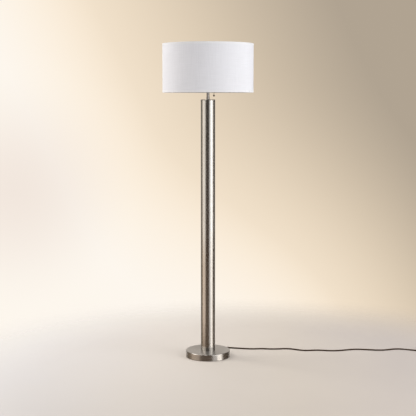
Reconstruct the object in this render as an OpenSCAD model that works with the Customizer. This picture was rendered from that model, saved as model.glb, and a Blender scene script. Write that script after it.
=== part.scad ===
// Column floor lamp: weighted round base, wide brushed column, harp with a drum shade, pull-chain socket.
// Millimetres, +Z up. The origin is the centre of the base's underside, on the floor.

/* [Base] */
// Diameter of the base
base_d = 228; // [200:2:270]
// Height of the base above the floor
base_h = 32.5; // [30:0.5:45]
// Radius of the rounded edge on top of the base
base_edge_r = 2.5; // [1.5:0.25:5]
// Sheet thickness of the spun base cover
cover_t = 1.2; // [0.8:0.1:1.4]
// Thickness of the felt pad
pad_t = 2; // [1.5:0.25:3]
// How far the pad stands out below the rim of the cover
pad_shows = 1; // [0.5:0.25:1.25]
// Diameter of the pocket under the cast weight
pocket_d = 60; // [46:1:90]
// Iron left above that pocket
web_t = 7.3; // [5:0.1:8]

/* [Column] */
// Outer diameter of the column
column_d = 73.3; // [50:0.1:90]
// Wall thickness of the column tube
column_t = 1.5; // [1:0.1:3]
// Height of the column above the base, with its cap
column_h = 1284.5; // [900:0.5:1500]
// Visible thickness of the column's cap
cap_t = 4.5; // [4:0.25:8]
// Radius of the cap's rounded edge
cap_edge_r = 3; // [1:0.25:3.5]
// Depth of the rings that centre the column at its foot and cap
spigot_h = 8; // [5:0.5:15]

/* [Neck] */
// Outer diameter of the threaded lamp pipe
pipe_d = 10; // [9.6:0.1:10.4]
// Bore of the lamp pipe
pipe_bore = 8; // [7:0.1:8.4]
// Diameter of the collar on the column's cap
collar_d = 17.5; // [14:0.5:24]
// Height of the collar
collar_h = 11; // [6:0.5:16]
// Diameter of the neck tube
neck_d = 15; // [13:0.5:20]
// Height of the neck tube
neck_h = 55; // [40:0.5:80]
// Diameter of the washer under the cast weight
washer_d = 28; // [20:1:36]
// Thickness of that washer
washer_t = 2; // [1:0.25:2.5]
// Width of the clamping nut across its flats
nut_w = 16; // [14:0.5:19]
// Height of the clamping nut
nut_h = 5.5; // [4:0.25:6]

/* [Harp] */
// Height from the saddle to the seat of the shade
harp_h = 190.5; // [178:0.5:215]
// Width of the harp across the middle of its wire
harp_w = 114; // [100:1:130]
// Diameter of the harp's wire
wire_d = 4; // [3:0.25:5]
// Distance between the harp's two legs
leg_gap = 56; // [50:0.5:64]
// Thickness of the saddle strip
saddle_t = 1.5; // [1:0.25:2.5]
// Width of the saddle strip
saddle_w = 12; // [10:0.5:14]
// Height of the saddle's two posts
post_h = 10.5; // [8:0.5:14]
// Outer diameter of the lock ferrules
ferrule_d = 7.8; // [7.5:0.1:10]
// Height of the lock ferrules
ferrule_h = 15; // [12:0.5:20]
// How far a ferrule lifts
ferrule_lift = 12; // [8:0.5:14]
// Diameter of the threaded stud that carries the shade
stud_d = 6.2; // [5.5:0.1:6.5]
// Length of that stud above the shade's seat
stud_h = 12; // [10:0.5:14]

/* [Socket] */
// Outer diameter of the socket's metal shell
socket_d = 31.8; // [31.5:0.1:36]
// Height of the whole socket
socket_h = 62.5; // [58:0.5:70]
// Sheet thickness of the socket's shell
shell_t = 0.6; // [0.4:0.1:0.8]
// Thickness of the fibre liner in the shell
liner_t = 0.7; // [0.5:0.1:0.9]
// Inner diameter of the brass screw shell
screw_d = 27; // [26.8:0.1:27.2]
// Height of the switch body inside the socket
switch_h = 26; // [24:0.5:28]
// Height of the chain guide's axis above the saddle
guide_up = 40.5; // [38:0.5:46]
// Drop from the guide's axis to its mouth
guide_drop = 13.5; // [13:0.5:16]

/* [Pull chain] */
// Distance of the hanging chain from the lamp's axis
chain_x = 30; // [28:0.5:40]
// Diameter of the beads
bead_d = 3.2; // [2.4:0.1:3.6]
// Distance from bead to bead
bead_pitch = 4.4; // [4:0.1:4.5]
// Beads that hang below the guide
bead_count = 15; // [6:1:16]
// Diameter of the pull knob
knob_d = 9.5; // [7:0.5:14]

/* [Bulb] */
// Widest diameter of the bulb
bulb_d = 60; // [45:1:66]
// Overall length of the bulb
bulb_h = 108; // [100:1:116]
// Mean diameter of the bulb's screw thread
thread_d = 25.5; // [25:0.1:25.6]
// Pitch of the bulb's screw thread
thread_pitch = 3.63; // [3.5:0.01:3.7]

/* [Shade] */
// Outer diameter of the shade over its trim
shade_d = 457; // [380:1:560]
// Height of the shade
shade_h = 241.7; // [200:0.1:320]
// Wall thickness of the shade's cloth and lining
shade_t = 1.4; // [1:0.1:2.5]
// Thickness of the rolled trim tape
trim_t = 0.6; // [0.4:0.1:1]
// Height of the trim tape on the outside
trim_h = 10; // [6:0.5:20]
// Depth of the shade's seat below its top rim
spider_drop = 18.3; // [14:0.1:30]
// Diameter of the wires inside the shade
ring_d = 3.5; // [2.5:0.25:4.5]
// Number of arms that carry the shade
arm_count = 3; // [2:1:6]

/* [Finial] */
// Diameter of the finial's threaded seat
seat_d = 15; // [13:0.5:17]
// Height of the finial's threaded seat
seat_h = 6; // [5:0.5:8]
// Diameter of the finial's ball
ball_d = 13; // [10:0.5:16]

/* [Cord] */
// Diameter of the supply cord
cord_d = 7; // [6:0.25:7]
// Diameter of the inner lead after the jacket is stripped
lead_d = 5; // [4:0.25:5.5]
// Direction in which the cord leaves the base, from +X towards the back
exit_az = 65; // [40:5:90]
// Height of the cord's exit above the floor
exit_z = 8.5; // [8:0.25:9]
// Length of the tapered strain relief outside the base
relief_l = 26; // [20:1:40]
// Full turns in the put-away coil
coil_turns = 5; // [3:1:7]
// Width of the plug's body
plug_w = 24; // [20:0.5:28]
// Thickness of the plug's body
plug_t = 17; // [14:0.5:20]
// Length of the plug's body
plug_l = 27; // [22:0.5:36]

/* [Hidden] */
$fn = 96;

// Clearances
fixed_fit = 0.1; // radial gap between pieces that are fastened together
run_fit = 0.1; // radial gap of a piece that slides or turns on another
seat_gap = 0.2; // gap under a piece that rests and can be lifted off
cut = 1; // how far a cutting tool runs past the face it cuts

// Colours
nickel = [0.62, 0.58, 0.53];
dark_nickel = [0.50, 0.46, 0.42];
bright_nickel = [0.78, 0.75, 0.71];
iron = [0.20, 0.19, 0.18];
felt = [0.16, 0.13, 0.11];
brass = [0.72, 0.58, 0.30];
toned_brass = [0.54, 0.45, 0.31];
bronze = [0.30, 0.24, 0.17];
zinc = [0.66, 0.66, 0.64];
black_plastic = [0.07, 0.065, 0.06];
fibre = [0.13, 0.11, 0.10];
brown_cord = [0.19, 0.13, 0.08];
linen = [0.94, 0.93, 0.91];
frosted = [0.95, 0.95, 0.93];

// Levels of the base and the column
base_r = base_d / 2;
weight_top = base_h - cover_t;
pocket_top = weight_top - web_t;
pipe_end = 0.5; // pipe that shows below the nut
pipe_bottom = pocket_top - washer_t - nut_h - pipe_end;
column_top = base_h + column_h;
tube_top = column_top - cap_t;
tube_ir = column_d / 2 - column_t;
pipe_hole_r = pipe_d / 2 + fixed_fit;
pipe_clear_r = pipe_d / 2 + 0.3; // hole that only has to clear the pipe

// Levels of the neck and the harp
neck_z = column_top + collar_h;
saddle_z = neck_z + neck_h;
saddle_top = saddle_z + saddle_t;
shoulder_h = 2.5; // step at the foot of each post, on which a ferrule rests
post_top = saddle_top + post_h;
ferrule_z = saddle_top + shoulder_h + seat_gap;
leg_spare = 2.8; // straight wire left above a lifted ferrule
leg_top = ferrule_z + ferrule_h + ferrule_lift + leg_spare;
seat_z = saddle_top + harp_h;
shoulder_t = 1.5; // thickness of the stud's shoulder
crown_pad_t = 3; // thickness of the flattened crown of the harp
crown_pad_r = 6.5; // radius of that crown, and of the stud's shoulder
crown_z = seat_z - shoulder_t - crown_pad_t / 2;
crown_half = 5; // half of the straight stretch at the crown
rivet_r = wire_d / 2;

// Harp outline, for one side: flare, belly, shoulder and crown arcs that run into each other
flare_r = 30;
flare_a = 40;
shoulder_a = 45;
belly_y = leg_gap / 2 + flare_r * (1 - cos(flare_a));
belly_r = (harp_w / 2 - belly_y) / (1 - cos(flare_a));
wide_z = leg_top + flare_r * sin(flare_a) + belly_r * sin(flare_a);
arch_rise = crown_z - wide_z;
arch_run = harp_w / 2 - crown_half;
arch_det = sin(shoulder_a) * cos(shoulder_a) - (1 - sin(shoulder_a)) * (1 - cos(shoulder_a));
side_r = (arch_rise * cos(shoulder_a) - (1 - sin(shoulder_a)) * arch_run) / arch_det;
crown_r = (sin(shoulder_a) * arch_run - (1 - cos(shoulder_a)) * arch_rise) / arch_det;

// Levels of the socket and the pull chain
cap_rim_h = 19.5; // height of the socket cap's rim
cap_wall = 0.8; // sheet thickness of the socket cap
cap_r = socket_d / 2 + fixed_fit + cap_wall;
hub_h = 8.5; // height of the socket cap's threaded hub
switch_z = saddle_top + hub_h;
switch_top = switch_z + switch_h;
shell_seat = 15.5; // height at which the shell sits in the cap
shell_z = saddle_top + shell_seat;
socket_top = saddle_top + socket_h;
liner_r = socket_d / 2 - shell_t - fixed_fit;
switch_r = liner_r - liner_t - 0.3;
guide_z = saddle_top + guide_up;
mouth_z = guide_z - guide_drop;
bead_clear = 0.5; // radial gap round a bead in the guide
guide_wall = 1.1; // wall of the guide
guide_bore_r = bead_d / 2 + bead_clear;
guide_r = guide_bore_r + guide_wall;
elbow_r = guide_r + 1.3;
pivot_z = mouth_z - 0.5; // where the chain bends when it swings
link_r = 0.5; // radius of the wire between beads
head_beads = 3; // beads that lie in the guide
head_gap = 0.3; // gap between those beads and the wire of the hanging chain
last_bead_z = pivot_z - bead_count * bead_pitch;
knob_gap = 0.9; // wire between the last bead and the knob
knob_top = last_bead_z - bead_d / 2 - knob_gap;
knob_neck = 2.4; // height of the knob's neck

// Levels of the bulb
contact_rise = 2.5; // height of the contact tongue above the switch body
contact_top = switch_top + contact_rise;
bulb_z = contact_top + seat_gap + run_fit;
button_h = 1.5; // height of the bulb's contact button
insulator_h = 4.2; // height of the glass insulator
thread_z = bulb_z + button_h + insulator_h;
thread_h = 17.5; // height of the screw thread
thread_depth = 0.42; // half of the thread's depth
bulb_rim_h = 1.5; // plain rim above the thread
cap_top = thread_z + thread_h + bulb_rim_h;
bulb_top = bulb_z + bulb_h;
bulb_neck_r = 13.2; // radius of the bulb's neck
glass_t = 0.8; // thickness of the bulb's glass
globe_a = 120; // angle from the top at which the globe runs into the neck

// Levels of the shade
shade_top = seat_z + spider_drop;
shade_bottom = shade_top - shade_h;
drum_r = shade_d / 2 - trim_t;
drum_ir = drum_r - shade_t;
ring_r = drum_ir - fixed_fit - ring_d / 2;
ring_top_z = shade_top - trim_t - ring_d / 2 - fixed_fit;
ring_bottom_z = shade_bottom + trim_t + ring_d / 2 + fixed_fit;
hub_t = 1.5; // thickness of the washer that carries the shade
hub_z = seat_z + seat_gap;
hub_r = 14; // radius of that washer
arm_start = 9; // distance of an arm's inner end from the axis
weld = 0.4; // how far welded wires sink into each other
arm_z = hub_z + hub_t + ring_d / 2 - weld;
first_arm_az = 90;
lap_w = 10; // width of the drum's overlapped seam
lap_t = 0.4; // how far that seam stands out

// Levels of the finial
finial_z = hub_z + hub_t + seat_gap;
finial_top_z = finial_z + seat_h + run_fit;

// Cord: where it leaves the base, then its route on the floor as [x, y, z of its centre]
cord_r = cord_d / 2;
relief_tip = base_r + relief_l;
plug_z = plug_t / 2;
cord_route = [
    [69, 144, 7.9],
    [79, 151, 6.9],
    [91, 154, 5.8],
    [104, 154, 4.8],
    [122, 152, 4],
    [145, 147, 3.5],
    [173, 141, 3.5],
    [201, 134, 3.5],
    [230, 130, 3.5],
    [258, 132, 3.5],
    [286, 134, 3.5],
    [315, 130, 3.5],
    [343, 127, 3.5],
    [372, 129, 3.5],
    [400, 134, 3.5],
    [428, 132, 3.5],
    [455, 122, 3.5],
    [482, 106, 3.5],
    [510, 97, 3.5],
    [539, 98, 3.5],
    [568, 102, 3.5],
    [597, 100, 3.5],
    [626, 94, 3.5],
    [655, 91, 3.5],
    [684, 94, 3.5],
    [713, 102, 3.5],
    [742, 112, 3.5],
    [771, 120, 3.5],
    [800, 121, 3.5],
    [829, 116, 3.5],
    [858, 110, 3.5],
    [887, 104, 3.5],
    [915, 103, 3.5],
    [943, 110, 3.5],
    [971, 121, 3.5],
    [999, 128, 3.5],
    [1026, 125, 3.5],
    [1051, 115, 3.5],
    [1076, 104, 3.5],
    [1101, 93, 3.5],
    [1121, 85, 3.5]
];
coil_x = 1166;
coil_y = 118;
coil_az = -115; // direction from the coil's middle to where the cord comes in
coil_mid_r = 38.5; // radius at the middle of the turns
turn_pitch = cord_d + 0.5; // from turn to turn, and from layer to layer
coil_r = coil_mid_r + turn_pitch * coil_turns / 4;
tie_t = 0.8; // thickness of the tie
tie_w = 9; // width of the tie
coil_low = cord_r + tie_t + 0.2;
coil_high = coil_low + turn_pitch;
coil_rings = 24; // rings in each turn
tail_l = 60; // straight stretch from the coil to the plug
tail_flat = 27; // of that, the stretch before it comes down to the plug

// ---- Shapes that repeat ----

module tube(outer_r, inner_r, z0, z1) {
    translate([0, 0, z0])
    difference() {
        cylinder(r = outer_r, h = z1 - z0);
        translate([0, 0, -cut])
        cylinder(r = inner_r, h = z1 - z0 + 2 * cut);
    }
}

module disc(r, z0, z1) {
    translate([0, 0, z0])
    cylinder(r = r, h = z1 - z0);
}

// A rectangle with round corners, centred on the origin
module soft_rectangle(w, h, corner_r) {
    square([w - 2 * corner_r, h], center = true);
    square([w, h - 2 * corner_r], center = true);
    for (x = [-1, 1])
        for (y = [-1, 1])
            translate([x * (w / 2 - corner_r), y * (h / 2 - corner_r)])
            circle(r = corner_r, $fn = 32);
}

// Points of an arc, from one angle to another
function arc_points(centre, r, from_a, to_a, steps) = [
    for (i = [0:steps])
        let (a = from_a + (to_a - from_a) * i / steps)
        [centre.x + r * cos(a), centre.y + r * sin(a)]
];

// A point on the cubic curve between two ends, with its two handles
function bezier(p0, p1, p2, p3, t) =
    p0 * pow(1 - t, 3) + p1 * 3 * t * pow(1 - t, 2) + p2 * 3 * pow(t, 2) * (1 - t) + p3 * pow(t, 3);

function unit(v) = v / norm(v);
function ease(t) = t <= 0 ? 0 : t >= 1 ? 1 : t * t * (3 - 2 * t);
function total(values) = values * [for (v = values) 1];
function run_length(points) = total([for (i = [1:len(points) - 1]) norm(points[i] - points[i - 1])]);

// A smooth curve through a route's points, with extra points in each stretch
function smooth_between(p, i, t) =
    let (
        a = p[max(i - 1, 0)],
        b = p[i],
        c = p[i + 1],
        d = p[min(i + 2, len(p) - 1)]
    )
    0.5 * (2 * b + (c - a) * t + (2 * a - 5 * b + 4 * c - d) * t * t + (3 * b - a - 3 * c + d) * t * t * t);
function smooth_route(p, steps) = concat(
    [for (i = [0:len(p) - 2]) for (k = [0:steps - 1]) smooth_between(p, i, k / steps)],
    [p[len(p) - 1]]
);

// A round bar swept along a path, which never runs along the direction called flat
function path_direction(path, i) = unit(path[min(i + 1, len(path) - 1)] - path[max(i - 1, 0)]);
function ring_points(path, i, r, sides, flat) =
    let (
        along = path_direction(path, i),
        side = unit(cross(along, flat)),
        up = cross(side, along)
    )
    [for (k = [0:sides - 1])
        let (a = 360 * (k + 0.5) / sides)
        path[i] + r * (cos(a) * side + sin(a) * up)];
function swept_faces(rings, sides) = concat(
    [for (k = [1:sides - 2]) [0, k + 1, k]],
    [for (i = [0:rings - 2]) for (k = [0:sides - 1]) for (half = [0, 1])
        let (
            a = i * sides + k,
            b = i * sides + (k + 1) % sides
        )
        half == 0 ? [a, b, b + sides] : [a, b + sides, a + sides]],
    [for (k = [1:sides - 2]) [(rings - 1) * sides, (rings - 1) * sides + k, (rings - 1) * sides + k + 1]]
);
module swept_bar(path, r, sides, flat = [0, 0, 1]) {
    polyhedron(
        points = [for (i = [0:len(path) - 1]) each ring_points(path, i, r, sides, flat)],
        faces = swept_faces(len(path), sides)
    );
}

// Puts its children at the cord's exit, with their z axis pointing out of the base
module at_exit() {
    rotate([0, 0, exit_az])
    translate([base_r, 0, exit_z])
    rotate([0, 90, 0])
    children();
}

// ---- Base ----

cover_ir = base_r - cover_t;
bushing_r = cord_r + 1.4;
bushing_flange_r = bushing_r + 1.3;

module base_pad() {
    color(felt)
    disc(cover_ir - fixed_fit, 0, pad_t);
}

module base_cover() {
    color(nickel)
    difference() {
        rotate_extrude()
        difference() {
            union() {
                translate([0, pad_shows])
                square([base_r, base_h - base_edge_r - pad_shows]);
                translate([0, pad_shows])
                square([base_r - base_edge_r, base_h - pad_shows]);
                translate([base_r - base_edge_r, base_h - base_edge_r])
                circle(r = base_edge_r, $fn = 48);
            }
            square([cover_ir, weight_top - base_edge_r]);
            square([cover_ir - base_edge_r, weight_top]);
            translate([cover_ir - base_edge_r, weight_top - base_edge_r])
            circle(r = base_edge_r, $fn = 48);
            square([pipe_clear_r, base_h + cut]);
        }
        at_exit()
        translate([0, 0, -cover_t - 2 * cut])
        cylinder(r = bushing_r + fixed_fit, h = cover_t + 4 * cut);
    }
}

module base_weight() {
    weight_r = cover_ir - fixed_fit;
    bevel = base_edge_r + 0.5;
    groove_w = 2 * bushing_flange_r + 1;
    color(iron)
    difference() {
        rotate_extrude()
        polygon([
            [pipe_clear_r, pocket_top],
            [pocket_d / 2, pocket_top],
            [pocket_d / 2 + 1, pad_t],
            [weight_r, pad_t],
            [weight_r, weight_top - bevel],
            [weight_r - bevel, weight_top],
            [pipe_clear_r, weight_top]
        ]);
        rotate([0, 0, exit_az])
        translate([0, -groove_w / 2, pad_t - cut])
        cube([base_r, groove_w, exit_z + groove_w / 2 - pad_t + cut]);
    }
}

module base_washer() {
    color(zinc)
    tube(washer_d / 2, pipe_hole_r, pocket_top - washer_t, pocket_top);
}

module base_nut() {
    color(zinc)
    translate([0, 0, pocket_top - washer_t - nut_h])
    difference() {
        cylinder(d = nut_w / cos(30), h = nut_h, $fn = 6);
        translate([0, 0, -cut])
        cylinder(r = pipe_hole_r, h = nut_h + 2 * cut);
    }
}

// Moulded strain relief: a flange on each side of the cover, then a taper with rings cut round it
module cord_bushing() {
    flange_t = 2;
    flange_gap = 0.3;
    tip_r = cord_r + 0.8;
    taper_l = relief_l - flange_t;
    groove_count = 5;
    groove_w = 1.2;
    groove_depth = 0.3;
    color(black_plastic)
    at_exit()
    difference() {
        union() {
            translate([0, 0, -cover_t - flange_t])
            cylinder(r = bushing_flange_r, h = flange_t - fixed_fit);
            translate([0, 0, -cover_t - flange_t])
            cylinder(r = bushing_r, h = cover_t + 2 * flange_t);
            translate([0, 0, flange_gap])
            cylinder(r = bushing_flange_r, h = flange_t - flange_gap);
            translate([0, 0, flange_t])
            cylinder(r1 = bushing_r, r2 = tip_r, h = taper_l);
        }
        translate([0, 0, -cover_t - flange_t - cut])
        cylinder(r = cord_r + fixed_fit / 2, h = relief_l + cover_t + flange_t + 2 * cut);
        for (i = [1:groove_count])
            translate([0, 0, flange_t + i * taper_l / (groove_count + 2)])
            tube(bushing_r + cut, tip_r - groove_depth, 0, groove_w);
    }
}

// ---- Column ----

spigot_r = tube_ir - fixed_fit;
spigot_t = 1.5; // wall of the rings that centre the column

module column_foot() {
    color(dark_nickel)
    difference() {
        disc(spigot_r, base_h, base_h + spigot_h);
        disc(spigot_r - spigot_t, base_h + spigot_t, base_h + spigot_h + cut);
        disc(pipe_clear_r, base_h - cut, base_h + spigot_h);
    }
}

module column_tube() {
    color(nickel)
    tube(column_d / 2, tube_ir, base_h, tube_top);
}

module column_cap() {
    color(dark_nickel)
    difference() {
        rotate_extrude() {
            difference() {
                union() {
                    translate([0, tube_top])
                    square([column_d / 2, cap_t - cap_edge_r]);
                    translate([0, tube_top])
                    square([column_d / 2 - cap_edge_r, cap_t]);
                    translate([column_d / 2 - cap_edge_r, column_top - cap_edge_r])
                    circle(r = cap_edge_r, $fn = 48);
                }
                translate([0, tube_top - 2 * cap_edge_r])
                square([column_d, 2 * cap_edge_r]);
            }
            translate([0, tube_top - spigot_h])
            square([spigot_r, spigot_h]);
        }
        disc(spigot_r - spigot_t, tube_top - spigot_h - cut, tube_top);
        disc(pipe_clear_r, tube_top - cut, column_top + cut);
    }
}

// ---- Neck ----

module lamp_pipe() {
    color(zinc)
    tube(pipe_d / 2, pipe_bore / 2, pipe_bottom, switch_z - 1);
}

module neck_collar() {
    bevel = 0.8;
    color(dark_nickel)
    rotate_extrude()
    polygon([
        [pipe_hole_r, column_top],
        [collar_d / 2 - bevel, column_top],
        [collar_d / 2, column_top + bevel],
        [collar_d / 2, neck_z - bevel],
        [collar_d / 2 - bevel, neck_z],
        [pipe_hole_r, neck_z]
    ]);
}

module neck_tube() {
    color(nickel)
    tube(neck_d / 2, pipe_clear_r, neck_z, saddle_z);
}

// ---- Harp ----

module harp_saddle() {
    eye_r = saddle_w / 2 + 5;
    color(bright_nickel)
    difference() {
        union() {
            disc(eye_r, saddle_z, saddle_top);
            translate([-saddle_w / 2, -leg_gap / 2, saddle_z])
            cube([saddle_w, leg_gap, saddle_t]);
            for (side = [-1, 1])
                translate([0, side * leg_gap / 2, saddle_z]) {
                    cylinder(d = saddle_w, h = saddle_t);
                    cylinder(d = ferrule_d, h = saddle_t + shoulder_h);
                    cylinder(d = wire_d, h = saddle_t + post_h);
                }
        }
        disc(pipe_hole_r, saddle_z - cut, saddle_top + cut);
    }
}

// The harp's wire, from the middle of its crown down to the front or the rear post
function harp_half(side) = [
    for (p = concat(
        [[0, crown_z]],
        arc_points([crown_half, crown_z - crown_r], crown_r, 90, shoulder_a, 5),
        arc_points([harp_w / 2 - side_r, wide_z], side_r, shoulder_a * 0.9, 0, 7),
        arc_points([harp_w / 2 - belly_r, wide_z], belly_r, -flare_a / 6, -flare_a, 5),
        arc_points([leg_gap / 2 + flare_r, leg_top], flare_r, 180 - flare_a * 0.8, 180, 4),
        [[leg_gap / 2, (leg_top + post_top) / 2], [leg_gap / 2, post_top]]
    ))
        [0, side * p.x, p.y]
];

// The wire is flattened at its crown, where the stud's shoulder and head bear on it
module harp() {
    front = harp_half(-1);
    rear = harp_half(1);
    color(bright_nickel)
    difference() {
        union() {
            swept_bar(concat([for (i = [len(front) - 1:-1:1]) front[i]], rear), wire_d / 2, 12, [1, 0, 0]);
            disc(crown_pad_r, crown_z - crown_pad_t / 2, crown_z + crown_pad_t / 2);
        }
        disc(rivet_r + fixed_fit, crown_z - crown_pad_t, crown_z + crown_pad_t);
        disc(crown_pad_r + fixed_fit, crown_z + crown_pad_t / 2, crown_z + wire_d);
        disc(crown_pad_r + fixed_fit, crown_z - wire_d, crown_z - crown_pad_t / 2);
    }
}

module harp_stud() {
    head_r = rivet_r + 2;
    head_t = 1.2;
    bevel = 0.8;
    color(bright_nickel)
    rotate_extrude()
    polygon([
        [0, crown_z - crown_pad_t / 2 - head_t],
        [head_r - 0.4, crown_z - crown_pad_t / 2 - head_t],
        [head_r, crown_z - crown_pad_t / 2],
        [rivet_r, crown_z - crown_pad_t / 2],
        [rivet_r, crown_z + crown_pad_t / 2],
        [crown_pad_r, crown_z + crown_pad_t / 2],
        [crown_pad_r, seat_z],
        [stud_d / 2, seat_z],
        [stud_d / 2, seat_z + stud_h - bevel],
        [stud_d / 2 - bevel, seat_z + stud_h],
        [0, seat_z + stud_h]
    ]);
}

// A lock sleeve that rests on the saddle's shoulder and slides up the harp's leg
module ferrule(side) {
    bevel = 0.6;
    color(bright_nickel)
    translate([0, side * leg_gap / 2, ferrule_z])
    rotate_extrude()
    polygon([
        [wire_d / 2 + run_fit, 0],
        [ferrule_d / 2 - bevel, 0],
        [ferrule_d / 2, bevel],
        [ferrule_d / 2, ferrule_h - 3 * bevel],
        [ferrule_d / 2 - bevel, ferrule_h],
        [wire_d / 2 + run_fit, ferrule_h]
    ]);
}

module ferrule_front() {
    ferrule(-1);
}

module ferrule_rear() {
    ferrule(1);
}

// ---- Socket ----

module socket_cap() {
    bowl_r = 7.3;
    bowl = [cap_r - bowl_r, saddle_top + bowl_r];
    hub_wall = 1.9;
    hub_or = pipe_hole_r + hub_wall;
    color(brass)
    rotate_extrude()
    polygon(concat(
        [[pipe_hole_r, saddle_top]],
        arc_points(bowl, bowl_r, -90, 0, 10),
        [[cap_r, saddle_top + cap_rim_h], [cap_r - cap_wall, saddle_top + cap_rim_h]],
        arc_points(bowl, bowl_r - cap_wall, 0, -90, 10),
        [[hub_or, saddle_top + cap_wall], [hub_or, switch_z], [pipe_hole_r, switch_z]]
    ));
}

// Hole through the socket's side for the chain guide
module guide_hole(clearance) {
    translate([0, 0, guide_z])
    rotate([0, 90, 0])
    cylinder(r = guide_r + clearance, h = socket_d);
}

module socket_shell() {
    lip_r = 0.7;
    color(brass)
    difference() {
        union() {
            tube(socket_d / 2, socket_d / 2 - shell_t, shell_z, socket_top);
            translate([0, 0, socket_top - lip_r])
            rotate_extrude()
            translate([socket_d / 2, 0])
            circle(r = lip_r, $fn = 24);
        }
        guide_hole(0.4);
    }
}

module socket_liner() {
    color(fibre)
    difference() {
        tube(liner_r, liner_r - liner_t, shell_z, socket_top - 1);
        guide_hole(0.5);
    }
}

module socket_body() {
    terminal_w = 6;
    terminal_h = 8;
    terminal_depth = 2;
    color(black_plastic)
    difference() {
        disc(switch_r, switch_z, switch_top);
        for (side = [-1, 1])
            translate([-terminal_w / 2, side * switch_r - terminal_depth, switch_z + terminal_h])
            cube([terminal_w, 2 * terminal_depth, terminal_h]);
    }
}

module screw_shell() {
    sheet_t = 0.5;
    below_rim = 2;
    color(brass)
    tube(screw_d / 2 + sheet_t, screw_d / 2, switch_top, socket_top - below_rim);
}

// A springy tongue that rises from the switch body to the middle of the bulb's contact
module center_contact() {
    strip_t = 0.5;
    strip_w = 5;
    color(brass)
    translate([0, strip_w / 2, 0])
    rotate([90, 0, 0])
    linear_extrude(strip_w)
    polygon([
        [-10, switch_top],
        [-5, switch_top],
        [-3, contact_top - strip_t],
        [3, contact_top - strip_t],
        [3, contact_top],
        [-3.3, contact_top],
        [-5.3, switch_top + strip_t],
        [-10, switch_top + strip_t]
    ]);
}

// ---- Pull chain ----

// The line of the guide: out of the socket, through an elbow and down
module guide_line(r, start_x, extra) {
    translate([start_x, 0, guide_z])
    rotate([0, 90, 0])
    cylinder(r = r, h = chain_x - elbow_r - start_x);
    translate([chain_x - elbow_r, 0, guide_z - elbow_r])
    rotate([90, 0, 0])
    rotate_extrude(angle = 90)
    translate([elbow_r, 0])
    circle(r = r, $fn = 48);
    translate([chain_x, 0, mouth_z - extra])
    cylinder(r = r, h = guide_drop - elbow_r + extra);
}

module chain_guide() {
    start_x = switch_r + 0.05;
    mouth_r = guide_r + 0.9;
    mouth_h = 2.5;
    color(brass)
    difference() {
        union() {
            guide_line(guide_r, start_x, 0);
            translate([chain_x, 0, mouth_z])
            cylinder(r1 = mouth_r, r2 = guide_r, h = mouth_h);
        }
        guide_line(guide_bore_r, start_x - cut, cut);
    }
}

module bead(z) {
    translate([chain_x, 0, z])
    sphere(d = bead_d, $fn = 32);
}

// The beads that lie in the guide, and come down with the chain when it is pulled
module chain_head() {
    color(toned_brass) {
        for (i = [0:head_beads - 1])
            bead(pivot_z + i * bead_pitch);
        translate([chain_x, 0, pivot_z])
        cylinder(r = link_r, h = (head_beads - 1) * bead_pitch, $fn = 24);
    }
}

module pull_chain() {
    color(toned_brass) {
        for (i = [1:bead_count])
            bead(pivot_z - i * bead_pitch);
        translate([chain_x, 0, knob_top])
        cylinder(r = link_r, h = pivot_z - bead_d / 2 - head_gap - knob_top, $fn = 24);
    }
}

module pull_knob() {
    ball_r = knob_d / 2;
    neck_r = 1.9;
    neck_a = acos(neck_r / ball_r);
    ball_z = knob_top - knob_neck - ball_r * sin(neck_a) + 0.6;
    color(bronze)
    translate([chain_x, 0, 0])
    rotate_extrude()
    polygon(concat(
        arc_points([0, ball_z], ball_r, -90, neck_a, 20),
        [[neck_r, knob_top - 0.4], [neck_r - 0.4, knob_top], [0, knob_top]]
    ));
}

// ---- Bulb ----

module bulb_contact() {
    button_r = 4.8;
    color(zinc)
    rotate_extrude()
    polygon([
        [0, bulb_z],
        [button_r - 1.6, bulb_z],
        [button_r, bulb_z + button_h - 0.5],
        [button_r, bulb_z + button_h],
        [0, bulb_z + button_h]
    ]);
}

module bulb_insulator() {
    color(black_plastic)
    rotate_extrude()
    polygon([
        [0, bulb_z + button_h],
        [5.6, bulb_z + button_h],
        [6.6, bulb_z + button_h + 1],
        [10.8, thread_z - 0.8],
        [11.6, thread_z],
        [0, thread_z]
    ]);
}

// The screw cap: a round knuckle thread that winds up to the right, and fades out at both ends
function thread_r(a, h) =
    thread_d / 2 + thread_depth * cos(360 * h / thread_pitch - a) * ease(h / 2) * ease((thread_h - h) / 2);

module bulb_cap() {
    sides = 36;
    rings = 30;
    step = thread_h / (rings - 1);
    color(bright_nickel) {
        polyhedron(
            points = [for (i = [0:rings - 1]) for (k = [0:sides - 1])
                let (
                    a = 360 * k / sides,
                    r = thread_r(a, i * step)
                )
                [r * cos(a), r * sin(a), thread_z + i * step]],
            faces = [for (f = swept_faces(rings, sides)) [f[0], f[2], f[1]]]
        );
        disc(thread_d / 2 + thread_depth, thread_z + thread_h, cap_top);
    }
}

// One wall of the bulb's glass from its top to its neck, a given depth under the surface
function bulb_wall(inset) =
    let (
        r = bulb_d / 2 - inset,
        globe = [0, bulb_top - bulb_d / 2],
        end = [globe.x + r * sin(globe_a), globe.y + r * cos(globe_a)],
        slope = [cos(globe_a), -sin(globe_a)],
        neck = [bulb_neck_r - inset, cap_top]
    )
    concat(
        arc_points(globe, r, 90, 90 - globe_a, 16),
        [for (i = [1:10]) bezier(end, end + slope * 14, neck + [0, 16], neck, i / 10)]
    );

module bulb_glass() {
    inner = bulb_wall(glass_t);
    color(frosted)
    rotate_extrude()
    polygon(concat(bulb_wall(0), [for (i = [len(inner) - 1:-1:0]) inner[i]]));
}

stem_h = 34; // height of the glass stem above the bulb's cap
lead_gap = 9; // distance between the two lead wires
filament_h = 46; // height of the filament above the bulb's cap

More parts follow.
